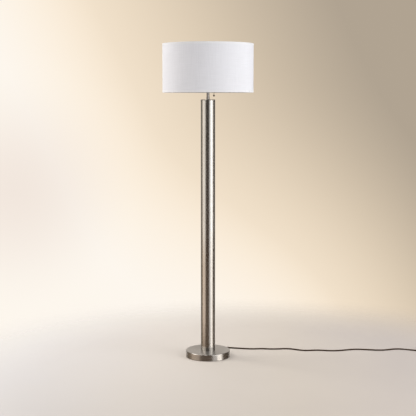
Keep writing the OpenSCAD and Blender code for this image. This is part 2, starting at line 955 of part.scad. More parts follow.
module bulb_stem() {
    color(frosted)
    rotate_extrude()
    polygon([
        [0, cap_top],
        [10, cap_top],
        [7.5, cap_top + 3],
        [3.4, cap_top + 12],
        [3.2, cap_top + stem_h - 4],
        [4.2, cap_top + stem_h],
        [0, cap_top + stem_h + 1]
    ]);
}

module bulb_filament() {
    wire_r = 0.4;
    reach = 3;
    color(zinc) {
        for (side = [-1, 1])
            translate([side * lead_gap / 2, 0, cap_top + stem_h - 3 + reach])
            cylinder(r = wire_r, h = filament_h - stem_h + 3 - reach, $fn = 16);
        translate([0, 0, cap_top + filament_h])
        rotate([90, 0, 0])
        rotate_extrude(angle = 180)
        translate([lead_gap / 2, 0])
        circle(r = wire_r, $fn = 16);
    }
}

// ---- Shade ----

module shade_drum() {
    lap_a = lap_w / drum_r * 180 / PI;
    color(linen) {
        tube(drum_r, drum_ir, shade_bottom + trim_t, shade_top - trim_t);
        translate([0, 0, shade_bottom + trim_h + fixed_fit])
        rotate([0, 0, first_arm_az - lap_a / 2])
        rotate_extrude(angle = lap_a)
        translate([drum_r - shade_t / 2, 0])
        square([shade_t / 2 + lap_t, shade_h - 2 * trim_h - 2 * fixed_fit]);
    }
}

// One arm from the middle washer up to the inside of the top wire
module spider_arm() {
    run = ring_r - ring_d / 2 - arm_start;
    rise = ring_top_z - arm_z;
    translate([arm_start, 0, arm_z])
    rotate([0, 90 - atan2(rise, run), 0])
    cylinder(d = ring_d, h = norm([run, rise]), $fn = 32);
}

module around_arms() {
    for (i = [0:arm_count - 1])
        rotate([0, 0, first_arm_az + 360 * i / arm_count])
        children();
}

module wire_ring(z) {
    translate([0, 0, z])
    rotate_extrude()
    translate([ring_r, 0])
    circle(d = ring_d, $fn = 32);
}

module shade_spider() {
    color(bright_nickel) {
        tube(hub_r, stud_d / 2 + 0.5, hub_z, hub_z + hub_t);
        around_arms()
        spider_arm();
    }
}

module shade_top_wire() {
    color(bright_nickel)
    wire_ring(ring_top_z);
}

module shade_bottom_wire() {
    color(bright_nickel)
    wire_ring(ring_bottom_z);
}

// The tape that is folded over the rim and its wire, drawn at the bottom of the shade
module trim_profile() {
    inner_r = ring_r - ring_d / 2 - fixed_fit;
    inner_h = ring_d + 2.5;
    difference() {
        translate([inner_r - trim_t, 0])
        square([shade_d / 2 - inner_r + trim_t, trim_h]);
        translate([inner_r, trim_t])
        square([drum_r - inner_r, trim_h]);
        translate([inner_r - trim_t - cut, inner_h])
        square([trim_t + 2 * cut, trim_h]);
    }
}

module shade_trim_bottom() {
    color(linen)
    translate([0, 0, shade_bottom])
    rotate_extrude()
    trim_profile();
}

module shade_trim_top() {
    notch_w = ring_d + 0.6;
    color(linen)
    difference() {
        translate([0, 0, shade_top])
        mirror([0, 0, 1])
        rotate_extrude()
        trim_profile();
        around_arms()
        translate([ring_r - ring_d - trim_t - cut, -notch_w / 2, shade_top - trim_h])
        cube([ring_d / 2 + trim_t + cut, notch_w, trim_h - trim_t]);
    }
}

// ---- Finial ----

module finial_seat() {
    bevel = 1;
    color(nickel)
    rotate_extrude()
    polygon([
        [stud_d / 2 + run_fit, finial_z],
        [seat_d / 2 - bevel, finial_z],
        [seat_d / 2, finial_z + bevel],
        [seat_d / 2, finial_z + 2.5],
        [seat_d / 2 - 2, finial_z + 3.5],
        [seat_d / 2 - 2, finial_z + seat_h],
        [stud_d / 2 + run_fit, finial_z + seat_h]
    ]);
}

module finial_knob() {
    foot_r = 4.6;
    foot_h = 1.5;
    ball_r = ball_d / 2;
    foot_a = -acos(foot_r / ball_r);
    ball_z = finial_top_z + foot_h - ball_r * sin(foot_a);
    color(nickel)
    difference() {
        rotate_extrude()
        polygon(concat(
            [[0, finial_top_z], [foot_r, finial_top_z]],
            arc_points([0, ball_z], ball_r, foot_a, 90, 24)
        ));
        disc(stud_d / 2 + run_fit, finial_top_z - cut, seat_z + stud_h + 0.5);
    }
}

// ---- Supply lead and cord ----

// The cord inside the lamp: jacketed through the strain relief, then stripped, round a bend and up the pipe
module supply_lead() {
    jacket_end = base_r - 12;
    bend_r = 1.5 * (pipe_bottom - exit_z);
    lead_r = lead_d / 2;
    color(brown_cord) {
        rotate([0, 0, exit_az]) {
            translate([jacket_end, 0, exit_z])
            rotate([0, 90, 0])
            cylinder(r = cord_r, h = relief_tip - jacket_end);
            translate([bend_r, 0, exit_z])
            rotate([0, 90, 0])
            cylinder(r = lead_r, h = jacket_end - bend_r + cut);
            translate([bend_r, 0, exit_z + bend_r])
            rotate([90, 0, 0])
            rotate([0, 0, 180])
            rotate_extrude(angle = 90)
            translate([bend_r, 0])
            circle(r = lead_r, $fn = 48);
        }
        disc(lead_r, exit_z + bend_r, switch_z);
    }
}

function from_exit(distance) =
    [distance * cos(exit_az), distance * sin(exit_az), exit_z];
function on_coil(r, a, z) =
    [coil_x + r * cos(a), coil_y + r * sin(a), z];

coil_heading = [cos(coil_az + 90), sin(coil_az + 90), 0];
coil_entry = on_coil(coil_r, coil_az, cord_r);
cord_start = coil_entry - coil_heading * 2 * cord_d;
cord_end = coil_entry - coil_heading * cord_d;
cord_path = concat(
    [from_exit(relief_tip)],
    smooth_route(concat([from_exit(relief_tip + cord_d)], cord_route, [cord_start]), 2),
    [cord_end]
);

// The turns spiral in on the floor, climb a layer in the half turn at the middle, and spiral out again
function turn_point(t) = on_coil(
    coil_r - turn_pitch * min(t, coil_turns - t),
    coil_az + 360 * t,
    cord_r + (coil_low - cord_r) * ease(4 * t) + turn_pitch * ease(2 * (t - coil_turns / 2) + 0.5)
);
coil_exit = turn_point(coil_turns);
function tail_point(s) = coil_exit + coil_heading * s
    - [0, 0, (coil_exit.z - plug_z) * ease((s - tail_flat) / (tail_l - tail_flat - cord_d))];
turns = [for (i = [0:coil_turns * coil_rings]) turn_point(i / coil_rings)];
coil_path = concat(
    [cord_end],
    turns,
    [for (s = [cord_d, 2 * cord_d, tail_flat, tail_flat + 7, tail_flat + 13, tail_flat + 19]) tail_point(s)],
    [tail_point(tail_l - cord_d), tail_point(tail_l)]
);

module cord() {
    color(brown_cord)
    swept_bar(cord_path, cord_r, 10);
}

module cord_coil() {
    color(brown_cord)
    swept_bar(coil_path, cord_r, 6);
}

// Least gap between the coil's own turns, and the cord's whole length
coil_gap = min([
    for (i = [0:len(turns) - 1 - coil_rings / 2])
        min([for (k = [i + coil_rings / 2:len(turns) - 1]) norm(turns[i] - turns[k])])
]) - cord_d;
echo(coil_gap = coil_gap);
echo(cord_length = run_length(cord_path), coil_length = run_length(coil_path));

module coil_tie() {
    clear = 0.4;
    tie_az = coil_az + 270;
    inner_r = coil_r - turn_pitch * (coil_turns / 2 - 0.25) - cord_r - clear;
    outer_r = coil_r - turn_pitch * 0.25 + cord_r + clear;
    inside_h = coil_high + cord_r + clear - tie_t;
    width = outer_r - inner_r;
    color(black_plastic)
    translate([coil_x, coil_y, 0])
    rotate([0, 0, tie_az])
    translate([(inner_r + outer_r) / 2, tie_w / 2, tie_t + inside_h / 2])
    rotate([90, 0, 0])
    linear_extrude(tie_w)
    difference() {
        soft_rectangle(width + 2 * tie_t, inside_h + 2 * tie_t, 3);
        soft_rectangle(width, inside_h, 2.2);
    }
}

// ---- Plug ----

boot_l = 14; // length of the plug's tapered boot
blade_w = 6.35;
blade_t = 1.5;
blade_gap = 12.7;
blade_l = 16.5; // length of the blades outside the plug
blade_root = 8; // and inside it

// Puts its children at the end of the cord, with x along it
module at_plug() {
    end = tail_point(tail_l);
    translate(end)
    rotate([0, 0, coil_az + 90])
    children();
}

module blade_outline(clearance, length) {
    for (side = [-1, 1])
        translate([0, side * blade_gap / 2 - blade_t / 2 - clearance, -blade_w / 2 - clearance])
        cube([length, blade_t + 2 * clearance, blade_w + 2 * clearance]);
}

module plug_body() {
    color(black_plastic)
    at_plug()
    difference() {
        union() {
            rotate([0, 90, 0])
            cylinder(r1 = cord_r + 0.6, r2 = plug_t / 2 - 1.5, h = boot_l);
            translate([boot_l, 0, 0])
            rotate([0, 90, 0])
            linear_extrude(plug_l)
            soft_rectangle(plug_t, plug_w, 4);
        }
        translate([boot_l + plug_l - blade_root - fixed_fit, 0, 0])
        blade_outline(fixed_fit, blade_root + 1);
    }
}

module plug_blades() {
    hole_d = 3.2;
    length = blade_root + blade_l;
    color(brass)
    at_plug()
    translate([boot_l + plug_l - blade_root, 0, 0])
    difference() {
        blade_outline(0, length);
        translate([length - 3.5, blade_gap, 0])
        rotate([90, 0, 0])
        cylinder(d = hole_d, h = 2 * blade_gap, $fn = 32);
    }
}

base_pad();
base_cover();
base_weight();
base_washer();
base_nut();
cord_bushing();
column_foot();
column_tube();
column_cap();
lamp_pipe();
neck_collar();
neck_tube();
harp_saddle();
harp();
harp_stud();
ferrule_front();
ferrule_rear();
socket_cap();
socket_shell();
socket_liner();
socket_body();
screw_shell();
center_contact();
chain_guide();
chain_head();
pull_chain();
pull_knob();
bulb_contact();
bulb_insulator();
bulb_cap();
bulb_glass();
bulb_stem();
bulb_filament();
shade_drum();
shade_spider();
shade_top_wire();
shade_bottom_wire();
shade_trim_top();
shade_trim_bottom();
finial_seat();
finial_knob();
supply_lead();
cord();
cord_coil();
coil_tie();
plug_body();
plug_blades();
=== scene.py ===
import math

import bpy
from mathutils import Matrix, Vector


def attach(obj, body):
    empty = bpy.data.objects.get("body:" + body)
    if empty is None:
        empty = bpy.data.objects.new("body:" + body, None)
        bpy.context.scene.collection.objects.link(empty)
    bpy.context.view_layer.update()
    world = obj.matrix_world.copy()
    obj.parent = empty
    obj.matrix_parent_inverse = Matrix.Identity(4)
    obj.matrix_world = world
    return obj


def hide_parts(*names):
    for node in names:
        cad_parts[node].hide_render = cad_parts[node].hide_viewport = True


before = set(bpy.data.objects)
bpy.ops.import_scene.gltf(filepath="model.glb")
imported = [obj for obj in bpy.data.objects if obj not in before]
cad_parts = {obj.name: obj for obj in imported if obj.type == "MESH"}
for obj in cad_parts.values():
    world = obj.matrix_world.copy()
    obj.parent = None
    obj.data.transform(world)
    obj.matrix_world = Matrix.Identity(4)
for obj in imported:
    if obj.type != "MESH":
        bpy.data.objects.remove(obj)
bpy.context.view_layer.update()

# Looks of a column floor lamp: brushed nickel, a white linen drum shade, a bead chain, a bulb and a cord.
# Metres, +Z up. The origin is on the floor under the base's middle, and the camera stands on the -Y side.

# Camera: where it stands, how far it looks down, and its lens
CAMERA_AT = Vector((0, -5.025, 1.320))
CAMERA_DROP = math.radians(6.265)
LENS_MM = 86.02
SENSOR_MM = 36.0


def place_camera():
    camera = bpy.data.objects.new("camera", bpy.data.cameras.new("camera"))
    bpy.context.scene.collection.objects.link(camera)
    camera.data.lens = LENS_MM
    camera.data.sensor_width = SENSOR_MM
    camera.location = CAMERA_AT
    camera.rotation_euler = (math.pi / 2 - CAMERA_DROP, 0, 0)
    bpy.context.scene.camera = camera


# ---- Shapes that several pieces use ----

MM = 0.001
SHARP_ANGLE = math.radians(35)


def ease(t):
    """0 up to t = 0, 1 from t = 1, and a smooth rise between them."""
    t = min(max(t, 0), 1)
    return t * t * (3 - 2 * t)


def arc(middle, radius, start, end, steps):
    """Points on an arc, with angles in degrees from the first axis to the second."""
    angles = [math.radians(start + (end - start) * i / steps) for i in range(steps + 1)]
    return [(middle[0] + radius * math.cos(a), middle[1] + radius * math.sin(a)) for a in angles]


def bezier(a, b, c, d, t):
    return (1 - t) ** 3 * a + 3 * t * (1 - t) ** 2 * b + 3 * t * t * (1 - t) * c + t ** 3 * d


def tube(points, radii, sides, side):
    """Vertices, faces and UVs of a closed tube along the points, from a first sideways direction.
    The UVs are the length along it, and the share of the way round."""
    along = [0.0]
    for a, b in zip(points, points[1:]):
        along.append(along[-1] + (b - a).length)
    tangents = [(points[min(i + 1, len(points) - 1)] - points[max(i - 1, 0)]).normalized()
                for i in range(len(points))]
    vertices = []
    for point, tangent, radius in zip(points, tangents, radii):
        side = (side - tangent * side.dot(tangent)).normalized()
        up = side.cross(tangent)
        for k in range(sides):
            a = 2 * math.pi * k / sides
            vertices.append(point + radius * (math.cos(a) * side + math.sin(a) * up))
    faces, uvs = [], []
    for i in range(len(points) - 1):
        for k in range(sides):
            n = (k + 1) % sides
            faces.append((i * sides + k, (i + 1) * sides + k, (i + 1) * sides + n, i * sides + n))
            uvs += [(along[i], k / sides), (along[i + 1], k / sides),
                    (along[i + 1], (k + 1) / sides), (along[i], (k + 1) / sides)]
    last = (len(points) - 1) * sides
    near_end = (range(sides), 0, 0.0)
    far_end = (range(last + sides - 1, last - 1, -1), last, along[-1])
    for ring, start, length in (near_end, far_end):
        faces.append(tuple(ring))
        uvs += [(length, (k - start) / sides) for k in ring]
    return vertices, faces, uvs


def lathe(outline, sides):
    """Vertices and faces of a closed outline (radius, height) turned round Z.
    The outline runs down on its outside and up on its inside."""
    vertices, rows = [], []
    for radius, height in outline:
        count = sides if radius > 0 else 1
        first = len(vertices)
        turns = [2 * math.pi * k / sides for k in range(count)]
        vertices += [Vector((radius * math.cos(a), radius * math.sin(a), height)) for a in turns]
        rows.append([first + k % count for k in range(sides)])
    faces = []
    for a, b in zip(rows, rows[1:] + rows[:1]):
        for k in range(sides):
            n = (k + 1) % sides
            corners = tuple(dict.fromkeys((a[k], b[k], b[n], a[n])))
            if len(corners) > 2:
                faces.append(corners)
    return vertices, faces


def new_piece(name, vertices, faces):
    mesh = bpy.data.meshes.new(name)
    mesh.from_pydata(vertices, [], faces)
    mesh.shade_smooth()
    piece = bpy.data.objects.new(name, mesh)
    bpy.context.scene.collection.objects.link(piece)
    return piece


# ---- Supply cord: the route and the put-away coil of the CAD cord, in metres ----

CORD_D = 0.007
CORD_R = CORD_D / 2
CORD_SIDES = 20
BASE_R = 0.114
EXIT_AZ = math.radians(65)
EXIT_SIDE = Vector((math.sin(EXIT_AZ), -math.cos(EXIT_AZ), 0))
EXIT_Z = 0.0085
RELIEF_L = 0.026
PLUG_Z = 0.0085
CORD_ROUTE_MM = [
    (69, 144, 7.9),
    (79, 151, 6.9),
    (91, 154, 5.8),
    (104, 154, 4.8),
    (122, 152, 4),
    (145, 147, 3.5),
    (173, 141, 3.5),
    (201, 134, 3.5),
    (230, 130, 3.5),
    (258, 132, 3.5),
    (286, 134, 3.5),
    (315, 130, 3.5),
    (343, 127, 3.5),
    (372, 129, 3.5),
    (400, 134, 3.5),
    (428, 132, 3.5),
    (455, 122, 3.5),
    (482, 106, 3.5),
    (510, 97, 3.5),
    (539, 98, 3.5),
    (568, 102, 3.5),
    (597, 100, 3.5),
    (626, 94, 3.5),
    (655, 91, 3.5),
    (684, 94, 3.5),
    (713, 102, 3.5),
    (742, 112, 3.5),
    (771, 120, 3.5),
    (800, 121, 3.5),
    (829, 116, 3.5),
    (858, 110, 3.5),
    (887, 104, 3.5),
    (915, 103, 3.5),
    (943, 110, 3.5),
    (971, 121, 3.5),
    (999, 128, 3.5),
    (1026, 125, 3.5),
    (1051, 115, 3.5),
    (1076, 104, 3.5),
    (1101, 93, 3.5),
    (1121, 85, 3.5),
]
ROUTE_STEPS = 5
COIL_MIDDLE = Vector((1.166, 0.118, 0))
COIL_AZ = math.radians(-115)
COIL_TURNS = 5
COIL_MEAN_R = 0.0385
RING_STEPS = 48
TURN_GAP = 0.0005
TURN_PITCH = CORD_D + TURN_GAP
COIL_R = COIL_MEAN_R + TURN_PITCH * COIL_TURNS / 4
# The cord rises a little as it enters the coil, and by a layer at its middle, within these turns
ENTRY_RISE = 0.001
ENTRY_TURNS = 0.25
LAYER_TURNS = 0.5
TAIL_L = 0.060
TAIL_FLAT = 0.027
TAIL_STEPS = 15
HEADING = Vector((math.cos(COIL_AZ + math.pi / 2), math.sin(COIL_AZ + math.pi / 2), 0))


def from_exit(distance):
    return Vector((distance * math.cos(EXIT_AZ), distance * math.sin(EXIT_AZ), EXIT_Z))


def smooth_route(points, steps):
    """A smooth curve through the points, with extra points in each stretch."""
    last = len(points) - 1
    curve = []
    for i in range(last):
        a, b, c, d = points[max(i - 1, 0)], points[i], points[i + 1], points[min(i + 2, last)]
        for k in range(steps):
            t = k / steps
            curve.append(0.5 * (2 * b + (c - a) * t + (2 * a - 5 * b + 4 * c - d) * t ** 2
                                + (3 * b - a - 3 * c + d) * t ** 3))
    return curve + [points[last]]


def turn_point(t):
    """A point of the coil: in on the floor, up a layer at the middle turn, and out again."""
    radius = COIL_R - TURN_PITCH * min(t, COIL_TURNS - t)
    angle = COIL_AZ + 2 * math.pi * t
    layer = ease((t - COIL_TURNS / 2) / LAYER_TURNS + 0.5)
    rise = ENTRY_RISE * ease(t / ENTRY_TURNS) + TURN_PITCH * layer
    return COIL_MIDDLE + Vector((radius * math.cos(angle), radius * math.sin(angle), CORD_R + rise))


def tail_point(distance):
    """A point of the straight stretch that comes down from the coil to the plug."""
    start = turn_point(COIL_TURNS)
    drop = (start.z - PLUG_Z) * ease((distance - TAIL_FLAT) / (TAIL_L - TAIL_FLAT - CORD_D))
    return start + HEADING * distance - Vector((0, 0, drop))


def cord_points():
    relief_end = BASE_R + RELIEF_L
    coil_entry = turn_point(0)
    route = [from_exit(relief_end + CORD_D)]
    route += [Vector(p) * MM for p in CORD_ROUTE_MM]
    route += [coil_entry - 2 * CORD_D * HEADING]
    points = [from_exit(relief_end)]
    points += smooth_route(route, ROUTE_STEPS)
    points += [coil_entry - CORD_D * HEADING]
    points += [turn_point(i / RING_STEPS) for i in range(COIL_TURNS * RING_STEPS + 1)]
    points += [tail_point(TAIL_L * i / TAIL_STEPS) for i in range(1, TAIL_STEPS + 1)]
    return points


def build_cord():
    points = cord_points()
    vertices, faces, uvs = tube(points, [CORD_R] * len(points), CORD_SIDES, EXIT_SIDE)
    cord = new_piece("supply_cord", vertices, faces)
    layer = cord.data.uv_layers.new(name="UVMap")
    for loop, uv in zip(layer.data, uvs):
        loop.uv = uv
    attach(cord, "lamp")
    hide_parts("cord", "cord_coil")
    return cord


# ---- Harp: the CAD wire with smooth bends, in millimetres from the floor and the lamp's axis ----

WIRE_R = 2
WIRE_SIDES = 20
CROWN_Z = 1572
CROWN_HALF = 5
CROWN_R = 35.508
SHOULDER = 45
UPPER_MIDDLE = (-34.815, 1496.68)
UPPER_R = 91.815
LOWER_MIDDLE = (-36.955, 1496.68)
LOWER_R = 93.955
FOOT_MIDDLE = (58, 1417)
FOOT_R = 30
FOOT_TURN = 40
FOOT_Z = 1395
PAD_R = 6.5
PAD_T = 3
PAD_HOLE_R = 2.1
PAD_BEVEL = 0.3
PAD_SIDES = 48
NARROWING_L = 5


def harp_half():
    """The wire from inside the crown's pad to a foot, as (distance from the axis, height)."""
    crown_middle = (CROWN_HALF, CROWN_Z - CROWN_R)
    wire = arc(crown_middle, CROWN_R, start=90, end=SHOULDER, steps=16)
    wire += arc(UPPER_MIDDLE, UPPER_R, start=SHOULDER, end=0, steps=24)[1:]
    wire += arc(LOWER_MIDDLE, LOWER_R, start=0, end=-FOOT_TURN, steps=24)[1:]
    wire += arc(FOOT_MIDDLE, FOOT_R, start=180 - FOOT_TURN, end=180, steps=12)[1:]
    return wire + [(FOOT_MIDDLE[0] - FOOT_R, FOOT_Z)]


def wire_radius(point):
    """The wire is round, but narrows over its last stretch, so that it ends inside the pad."""
    end_r = (PAD_T - PAD_BEVEL) / 2
    return end_r + (WIRE_R - end_r) * ease((abs(point.y) - PAD_R) / NARROWING_L)


def crown_pad():
    low = CROWN_Z - PAD_T / 2
    high = CROWN_Z + PAD_T / 2
    return lathe([
        (PAD_HOLE_R, high),
        (PAD_R - PAD_BEVEL, high),
        (PAD_R, high - PAD_BEVEL),
        (PAD_R, low + PAD_BEVEL),
        (PAD_R - PAD_BEVEL, low),
        (PAD_HOLE_R, low),
    ], PAD_SIDES)


def build_harp():
    """Two halves of wire that meet in the crown's flat pad, which the stud goes through."""
    vertices, faces = crown_pad()
    for side in (-1, 1):
        points = [Vector((0, side * y, z)) for y, z in harp_half()]
        radii = [wire_radius(point) for point in points]
        wire, wall = tube(points, radii, WIRE_SIDES, Vector((1, 0, 0)))[:2]
        first = len(vertices)
        vertices += wire
        faces += [tuple(first + k for k in face) for face in wall]
    harp = new_piece("harp_wire", [v * MM for v in vertices], faces)
    harp.data.set_sharp_from_angle(angle=SHARP_ANGLE)
    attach(harp, "lamp")
    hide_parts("harp")
    return harp


# ---- Bulb: the CAD glass with a smooth wall, in millimetres from the floor ----

GLOBE_Z = 1499.8
GLOBE_R = 30
GLOBE_TURN = 120
GLASS_T = 0.8
BULB_SIDES = 96
BULB_NECK_R = 13.2
BULB_NECK_Z = 1446.5
# How far the curve between globe and neck keeps to the direction of either
GLOBE_PULL = 14
NECK_PULL = 16


def bulb_wall(inset):
    """One side of the glass, from its top down to its neck, as (radius, height)."""
    radius = GLOBE_R - inset
    turn = math.radians(GLOBE_TURN)
    wall = [(0, GLOBE_Z + radius)]
    wall += arc((0, GLOBE_Z), radius, start=90, end=90 - GLOBE_TURN, steps=40)[1:]
    globe_end = Vector(wall[-1])
    globe_pull = globe_end + GLOBE_PULL * Vector((math.cos(turn), -math.sin(turn)))
    neck = Vector((BULB_NECK_R - inset, BULB_NECK_Z))
    neck_pull = neck + Vector((0, NECK_PULL))
    steps = 20
    wall += [tuple(bezier(globe_end, globe_pull, neck_pull, neck, i / steps)) for i in range(1, steps + 1)]
    return wall


def build_bulb():
    vertices, faces = lathe(bulb_wall(0) + bulb_wall(GLASS_T)[::-1], BULB_SIDES)
    bulb = new_piece("bulb_globe", [v * MM for v in vertices], faces)
    bulb.data.set_sharp_from_angle(angle=SHARP_ANGLE)
    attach(bulb, "bulb")
    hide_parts("bulb_glass")
    return bulb


# ---- Node helpers ----

# Most values of a noise lie in the first span, and the second gives more contrast
NOISE_SPAN = (0.3, 0.7)
STRONG_SPAN = (0.35, 0.65)


def rgb(red, green, blue):
    return (red, green, blue, 1.0)


WHITE = rgb(1, 1, 1)


def add(tree, kind, inputs, **settings):
    """Adds a shader node. Inputs are sockets to link or values to set, by name or number."""
    node = tree.nodes.new("ShaderNode" + kind)
    for key, value in settings.items():
        setattr(node, key, value)
    for key, value in inputs.items():
        if isinstance(value, bpy.types.NodeSocket):
            tree.links.new(value, node.inputs[key])
        else:
            node.inputs[key].default_value = value
    return node


def new_material(name):
    material = bpy.data.materials.new(name)
    material.use_nodes = True
    material.node_tree.nodes.clear()
    return material, material.node_tree


def position(tree):
    return add(tree, "TexCoord", {}).outputs["Object"]


def parts_of(tree, vector):
    """The outputs X, Y and Z of a vector."""
    return add(tree, "SeparateXYZ", {0: vector}).outputs


def scaled(tree, vector, scale):
    return add(tree, "VectorMath", {0: vector, 1: scale}, operation="MULTIPLY").outputs[0]


def flattened(tree, vector):
    return scaled(tree, vector, (1, 1, 0))


def length_of(tree, vector):
    return add(tree, "VectorMath", {0: vector}, operation="LENGTH").outputs["Value"]


def distance_between(tree, a, b):
    return add(tree, "VectorMath", {0: a, 1: b}, operation="DISTANCE").outputs["Value"]


def number(tree, operation, a, b=0.0, c=0.0):
    return add(tree, "Math", {0: a, 1: b, 2: c}, operation=operation).outputs[0]


def noise(tree, vector, scale=1.0, detail=2.0):
    return add(tree, "TexNoise", {"Vector": vector, "Scale": scale, "Detail": detail}).outputs[0]


def mapped(tree, value, span, out_low=0, out_high=1, kind="LINEAR"):
    """The value's place in the span, from out_low at its start to out_high at its end."""
    inputs = {0: value, 1: span[0], 2: span[1], 3: out_low, 4: out_high}
    return add(tree, "MapRange", inputs, interpolation_type=kind).outputs[0]


def blended(tree, factor, colour_a, colour_b):
    inputs = {0: factor, 6: colour_a, 7: colour_b}
    return add(tree, "Mix", inputs, data_type="RGBA").outputs[2]


def colour_ramp(tree, value, places, colours, interpolation="LINEAR"):
    node = add(tree, "ValToRGB", {0: value})
    ramp = node.color_ramp
    ramp.interpolation = interpolation
    for place in places[1:-1]:
        ramp.elements.new(place)
    for element, place, colour in zip(ramp.elements, places, colours):
        element.position = place
        element.color = colour
    return node.outputs[0]


def bumped(tree, height, distance, strength=1.0):
    inputs = {"Height": height, "Distance": distance, "Strength": strength}
    return add(tree, "Bump", inputs).outputs[0]


def uneven_roughness(tree, value, roughness, spread):
    """The roughness with the spread's two numbers added where the noise is low and high."""
    return mapped(tree, value, NOISE_SPAN, roughness + spread[0], roughness + spread[1])


def finish_material(tree, inputs):
    shader = add(tree, "BsdfPrincipled", inputs)
    add(tree, "OutputMaterial", {"Surface": shader.outputs[0]})


# ---- Metals ----

# Each finish has a darker and a lighter tone, which its material mixes
NICKEL = (rgb(0.46, 0.44, 0.415), rgb(0.555, 0.535, 0.505))
# The neck, its collar and the column's cap are the same nickel, darker: painted shade for the dim light
# under the lamp shade
NICKEL_NECK_SHADED = (rgb(0.335, 0.315, 0.295), rgb(0.385, 0.365, 0.345))
NICKEL_WIRE = (rgb(0.60, 0.575, 0.54), rgb(0.67, 0.64, 0.605))
ZINC = (rgb(0.52, 0.52, 0.50), rgb(0.66, 0.66, 0.63))
BRASS = (rgb(0.64, 0.485, 0.235), rgb(0.675, 0.515, 0.255))
BEAD_CHAIN = (rgb(0.32, 0.25, 0.16), rgb(0.46, 0.37, 0.25))
BULB_CAP = (rgb(0.66, 0.66, 0.66), rgb(0.78, 0.78, 0.77))

# Brush lines are noise, with a high scale across them and a low one along them
ACROSS_COLUMN = 1100
ALONG_COLUMN = 2
ACROSS_TURNING = 1400
ROUND_TURNING = 1.5
BRUSH_DEPTH = 0.000024
NECK_BRUSH_DEPTH = 0.000006
# The lines make this share of the tone, and wide patches make the rest
LINES_SHARE = 0.75
BRUSH_PATCHES = 9
# What a low and a high noise add to the roughness
BRUSHED_SPREAD = (0.05, -0.05)
METAL_SPREAD = (-0.02, 0.03)
MOULDED_SPREAD = (-0.05, 0.08)
GLASS_SPREAD = (0, 0.05)
# A face goes over to its level roughness as its normal turns up or down through this span
LEVEL_SPAN = (0.8, 1.0)
# How wide the patches of tone are: their scale as a share of the grain's scale
METAL_PATCHES = 0.1
MOULDED_PATCHES = 0.05


def lengthwise(tree, here):
    """Brush lines that run up the column."""
    return scaled(tree, here, (ACROSS_COLUMN, ACROSS_COLUMN, ALONG_COLUMN))


def turned(tree, here):
    """Brush lines that run round the lamp's axis."""
    flat = flattened(tree, here)
    way_out = add(tree, "VectorMath", {0: flat}, operation="NORMALIZE").outputs[0]
    around = scaled(tree, way_out, (ROUND_TURNING,) * 3)
    outward = number(tree, "ADD", length_of(tree, flat), parts_of(tree, here)["Z"])
    across = number(tree, "MULTIPLY", outward, ACROSS_TURNING)
    up = add(tree, "CombineXYZ", {"Z": across}).outputs[0]
    return add(tree, "VectorMath", {0: around, 1: up}, operation="ADD").outputs[0]


def brushed_metal(name, streaks, tones, roughness, level_roughness, directional, rotation, depth):
    """Satin metal with fine brush lines. Streaks gives the point to look the lines up at,
    and level_roughness is the roughness of faces that look up or down."""
    material, tree = new_material(name)
    here = position(tree)
    lines = noise(tree, streaks(tree, here), detail=3.0)
    patches = noise(tree, here, scale=BRUSH_PATCHES)
    rest = number(tree, "MULTIPLY", patches, 1 - LINES_SHARE)
    tone = number(tree, "MULTIPLY_ADD", lines, LINES_SHARE, rest)
    facing = parts_of(tree, add(tree, "TexCoord", {}).outputs["Normal"])["Z"]
    upward = number(tree, "ABSOLUTE", facing)
    satin = mapped(tree, upward, LEVEL_SPAN, roughness, level_roughness)
    uneven = mapped(tree, tone, NOISE_SPAN, *BRUSHED_SPREAD)
    finish_material(tree, {
        "Base Color": blended(tree, mapped(tree, tone, NOISE_SPAN), *tones),
        "Metallic": 1.0,
        "Roughness": number(tree, "ADD", satin, uneven),
        "Anisotropic": directional,
        "Anisotropic Rotation": rotation,
        "Tangent": add(tree, "Tangent", {}, direction_type="RADIAL", axis="Z").outputs[0],
        "Normal": bumped(tree, lines, depth),
    })
    return material


def plain_metal(name, tones, roughness, grain):
    """Cast, drawn or plated metal, with a mottled tone and a fine uneven surface."""
    material, tree = new_material(name)
    here = position(tree)
    mottle = noise(tree, here, scale=grain * METAL_PATCHES)
    fine = noise(tree, here, scale=grain)
    finish_material(tree, {
        "Base Color": blended(tree, mapped(tree, mottle, STRONG_SPAN), *tones),
        "Metallic": 1.0,
        "Roughness": uneven_roughness(tree, fine, roughness, METAL_SPREAD),
        "Normal": bumped(tree, fine, distance=0.000004, strength=0.5),
    })
    return material


# ---- Plastics, glass, felt, linen and braid ----

CAST_IRON = (rgb(0.035, 0.034, 0.032), rgb(0.075, 0.07, 0.065))
BLACK_PLASTIC = (rgb(0.022, 0.02, 0.018), rgb(0.034, 0.031, 0.028))
PLUG_PLASTIC = (rgb(0.045, 0.027, 0.015), rgb(0.065, 0.04, 0.024))
PHENOLIC = (rgb(0.02, 0.017, 0.015), rgb(0.035, 0.03, 0.026))
FIBRE = (rgb(0.07, 0.055, 0.045), rgb(0.11, 0.09, 0.075))
BRONZE = (rgb(0.032, 0.021, 0.012), rgb(0.06, 0.042, 0.026))
BLACK_GLASS = (rgb(0.02, 0.02, 0.025), rgb(0.04, 0.04, 0.045))
FROSTED_GLASS = (rgb(0.90, 0.90, 0.88), rgb(0.95, 0.95, 0.93))
CLEAR_GLASS = (rgb(0.88, 0.90, 0.90), rgb(0.93, 0.95, 0.95))
FELT = (rgb(0.035, 0.03, 0.027), rgb(0.085, 0.07, 0.06))
LINEN = (rgb(0.812, 0.812, 0.84), rgb(0.88, 0.88, 0.912))
LINEN_TRIM = (rgb(0.85, 0.85, 0.865), rgb(0.905, 0.905, 0.92))
BRAID = (rgb(0.028, 0.012, 0.003), rgb(0.065, 0.032, 0.011))

# The shade is cloth outside and a smooth lining inside these radii. The lining's greige is partly its own
# colour and partly painted shade for the unlit inside, and the hem's dark inside is painted shade
DRUM_LINING_AND_SHADE = rgb(0.68, 0.66, 0.63)
DRUM_LINING_R = 0.2272
HEM_LINING_SHADE = rgb(0.40, 0.375, 0.34)
HEM_LINING_R = 0.2245

